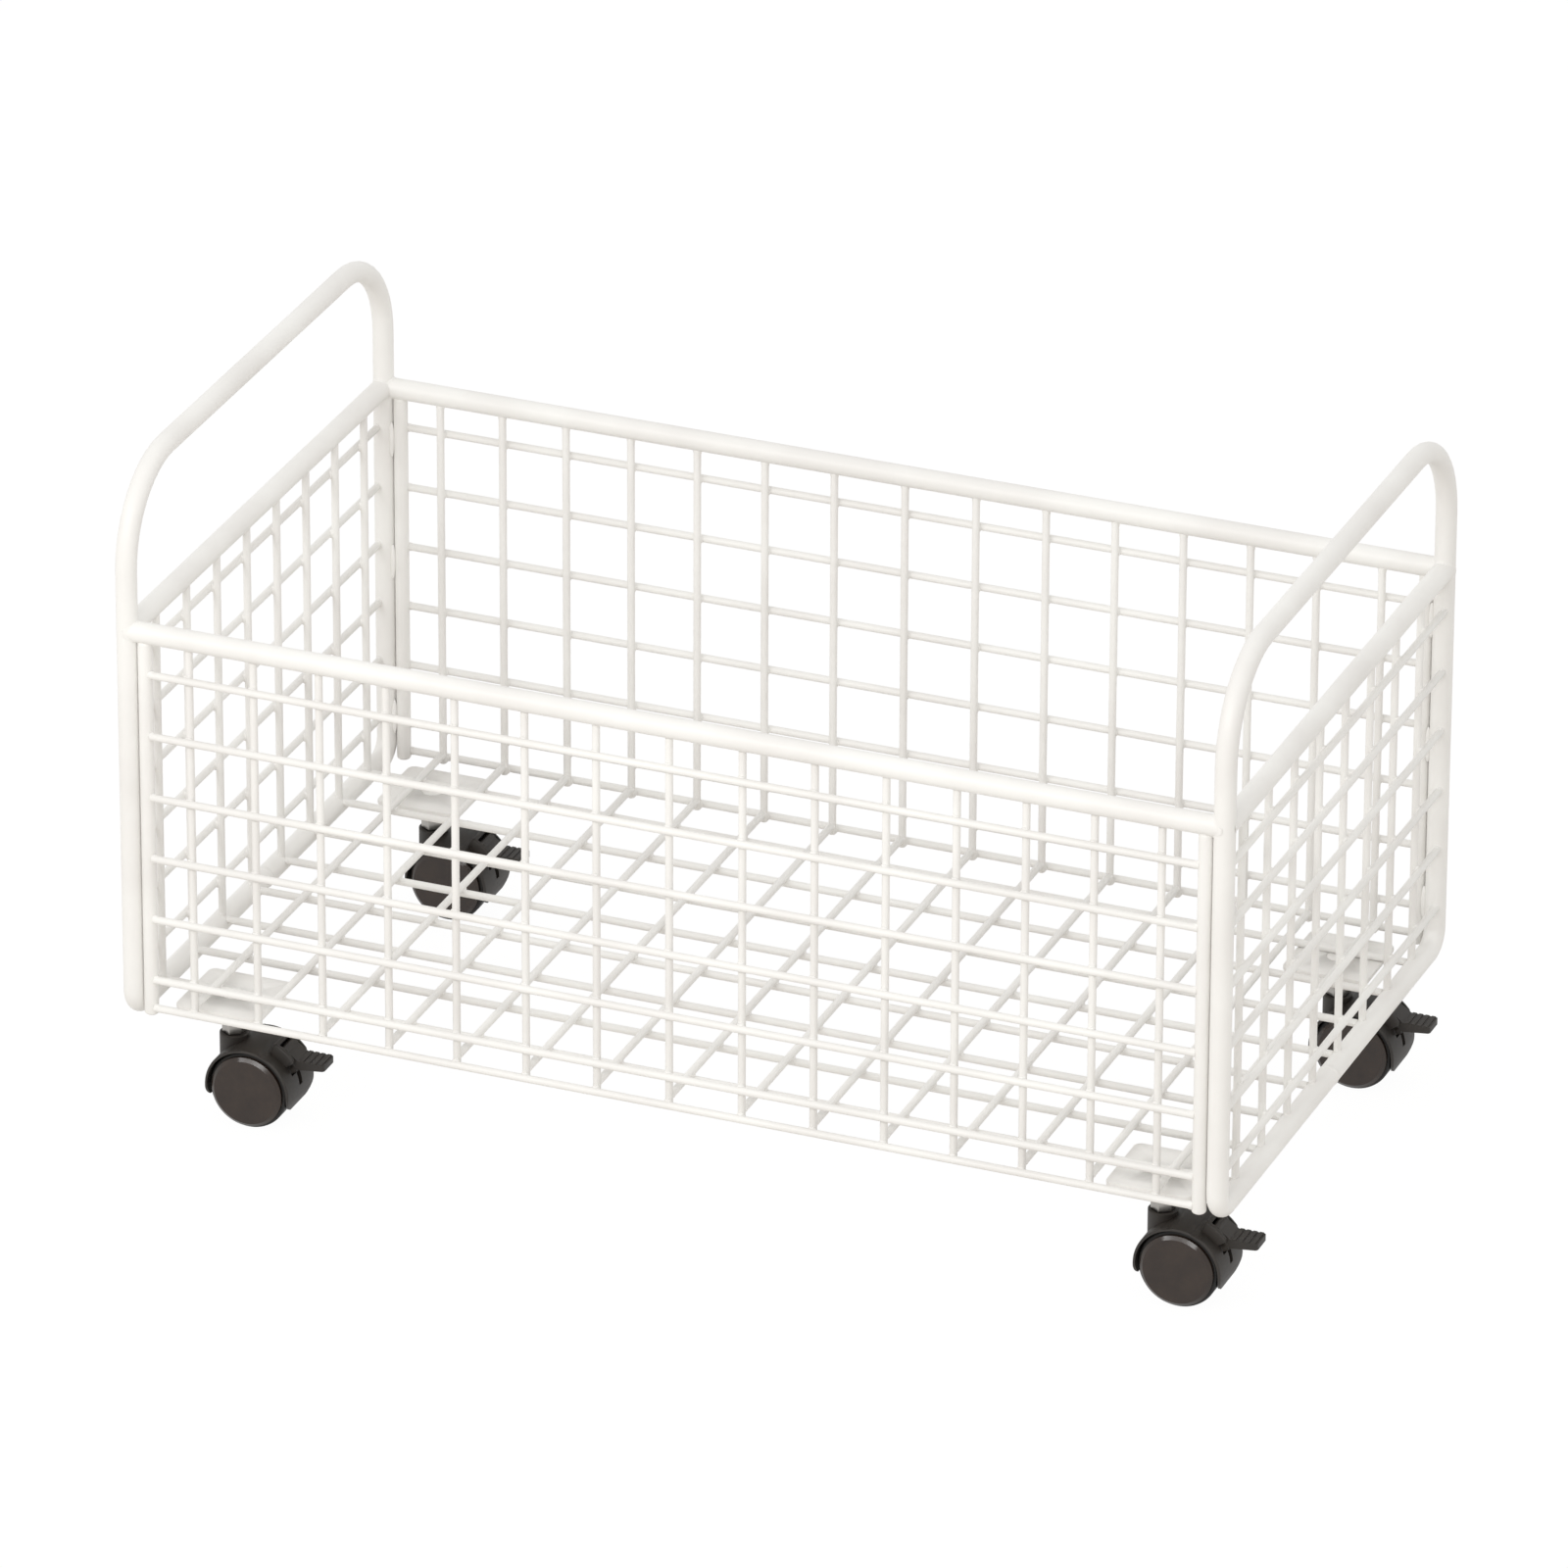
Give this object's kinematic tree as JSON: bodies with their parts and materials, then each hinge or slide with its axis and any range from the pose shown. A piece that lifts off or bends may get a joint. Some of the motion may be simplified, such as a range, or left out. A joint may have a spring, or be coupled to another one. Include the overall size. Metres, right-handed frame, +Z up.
{
  "type": "mobile file cart",
  "caption": "Low open wire basket cart with tube hoops as push handles at both ends, on swivelling twin-wheel casters with brake levers.",
  "frame": {"origin": "on the floor, under the middle of the basket", "axes": "+X along the cart, towards the end that the brake levers point to; +Y from the front side to the back; +Z up"},
  "size_m": [0.6027, 0.331, 0.3652],
  "materials": {
    "white_powder_coat": "white powder coat, satin, on steel tube and wire",
    "zinc_steel": "zinc-plated steel, turned",
    "black_nylon": "black moulded nylon, fine matt grain",
    "wheel_nylon": "dark grey-black moulded nylon, satin face"
  },
  "bodies": {
    "basket": {"left_end_hoop": "white_powder_coat", "left_rim_tube": "white_powder_coat", "left_end_mesh": "white_powder_coat", "right_end_hoop": "white_powder_coat", "right_rim_tube": "white_powder_coat", "right_end_mesh": "white_powder_coat", "front_rim_tube": "white_powder_coat", "front_panel_mesh": "white_powder_coat", "back_rim_tube": "white_powder_coat", "back_panel_mesh": "white_powder_coat", "floor_mesh": "white_powder_coat", "front_left_corner_rod": "white_powder_coat", "front_left_caster_plate": "white_powder_coat", "front_left_caster_stem": "zinc_steel", "front_left_grip_ring": "zinc_steel", "front_right_corner_rod": "white_powder_coat", "front_right_caster_plate": "white_powder_coat", "front_right_caster_stem": "zinc_steel", "front_right_grip_ring": "zinc_steel", "back_left_corner_rod": "white_powder_coat", "back_left_caster_plate": "white_powder_coat", "back_left_caster_stem": "zinc_steel", "back_left_grip_ring": "zinc_steel", "back_right_corner_rod": "white_powder_coat", "back_right_caster_plate": "white_powder_coat", "back_right_caster_stem": "zinc_steel", "back_right_grip_ring": "zinc_steel"},
    "front_left_swivel": {"front_left_caster_hood": "black_nylon", "front_left_wheel_axle": "zinc_steel"},
    "front_left_lever": {"front_left_brake_lever": "black_nylon"},
    "front_left_outer": {"front_left_outer_wheel": "wheel_nylon"},
    "front_left_inner": {"front_left_inner_wheel": "wheel_nylon"},
    "front_right_swivel": {"front_right_caster_hood": "black_nylon", "front_right_wheel_axle": "zinc_steel"},
    "front_right_lever": {"front_right_brake_lever": "black_nylon"},
    "front_right_outer": {"front_right_outer_wheel": "wheel_nylon"},
    "front_right_inner": {"front_right_inner_wheel": "wheel_nylon"},
    "back_left_swivel": {"back_left_caster_hood": "black_nylon", "back_left_wheel_axle": "zinc_steel"},
    "back_left_lever": {"back_left_brake_lever": "black_nylon"},
    "back_left_outer": {"back_left_outer_wheel": "wheel_nylon"},
    "back_left_inner": {"back_left_inner_wheel": "wheel_nylon"},
    "back_right_swivel": {"back_right_caster_hood": "black_nylon", "back_right_wheel_axle": "zinc_steel"},
    "back_right_lever": {"back_right_brake_lever": "black_nylon"},
    "back_right_outer": {"back_right_outer_wheel": "wheel_nylon"},
    "back_right_inner": {"back_right_inner_wheel": "wheel_nylon"}
  },
  "joints": [
    {"name": "front_left_caster_swivel", "type": "hinge", "parent": "basket", "child": "front_left_swivel", "pos_m": [-0.2522, -0.1273, 0.034], "axis": [0, 0, 1], "continuous": true},
    {"name": "front_left_outer_wheel_spin", "type": "hinge", "parent": "front_left_swivel", "child": "front_left_outer", "pos_m": [-0.2387, -0.1273, 0.021], "axis": [0, 1, 0], "continuous": true},
    {"name": "front_left_inner_wheel_spin", "type": "hinge", "parent": "front_left_swivel", "child": "front_left_inner", "pos_m": [-0.2387, -0.1273, 0.021], "axis": [0, 1, 0], "continuous": true},
    {"name": "front_left_brake_press", "type": "hinge", "parent": "front_left_swivel", "child": "front_left_lever", "pos_m": [-0.22215, -0.1273, 0.04144], "axis": [0, 1, 0], "range_deg": [0, 10]},
    {"name": "front_right_caster_swivel", "type": "hinge", "parent": "basket", "child": "front_right_swivel", "pos_m": [0.2522, -0.1273, 0.034], "axis": [0, 0, 1], "continuous": true},
    {"name": "front_right_outer_wheel_spin", "type": "hinge", "parent": "front_right_swivel", "child": "front_right_outer", "pos_m": [0.2657, -0.1273, 0.021], "axis": [0, 1, 0], "continuous": true},
    {"name": "front_right_inner_wheel_spin", "type": "hinge", "parent": "front_right_swivel", "child": "front_right_inner", "pos_m": [0.2657, -0.1273, 0.021], "axis": [0, 1, 0], "continuous": true},
    {"name": "front_right_brake_press", "type": "hinge", "parent": "front_right_swivel", "child": "front_right_lever", "pos_m": [0.28225, -0.1273, 0.04144], "axis": [0, 1, 0], "range_deg": [0, 10]},
    {"name": "back_left_caster_swivel", "type": "hinge", "parent": "basket", "child": "back_left_swivel", "pos_m": [-0.2522, 0.1273, 0.034], "axis": [0, 0, 1], "continuous": true},
    {"name": "back_left_outer_wheel_spin", "type": "hinge", "parent": "back_left_swivel", "child": "back_left_outer", "pos_m": [-0.2387, 0.1273, 0.021], "axis": [0, 1, 0], "continuous": true},
    {"name": "back_left_inner_wheel_spin", "type": "hinge", "parent": "back_left_swivel", "child": "back_left_inner", "pos_m": [-0.2387, 0.1273, 0.021], "axis": [0, 1, 0], "continuous": true},
    {"name": "back_left_brake_press", "type": "hinge", "parent": "back_left_swivel", "child": "back_left_lever", "pos_m": [-0.22215, 0.1273, 0.04144], "axis": [0, 1, 0], "range_deg": [0, 10]},
    {"name": "back_right_caster_swivel", "type": "hinge", "parent": "basket", "child": "back_right_swivel", "pos_m": [0.2522, 0.1273, 0.034], "axis": [0, 0, 1], "continuous": true},
    {"name": "back_right_outer_wheel_spin", "type": "hinge", "parent": "back_right_swivel", "child": "back_right_outer", "pos_m": [0.2657, 0.1273, 0.021], "axis": [0, 1, 0], "continuous": true},
    {"name": "back_right_inner_wheel_spin", "type": "hinge", "parent": "back_right_swivel", "child": "back_right_inner", "pos_m": [0.2657, 0.1273, 0.021], "axis": [0, 1, 0], "continuous": true},
    {"name": "back_right_brake_press", "type": "hinge", "parent": "back_right_swivel", "child": "back_right_lever", "pos_m": [0.28225, 0.1273, 0.04144], "axis": [0, 1, 0], "range_deg": [0, 10]}
  ]
}
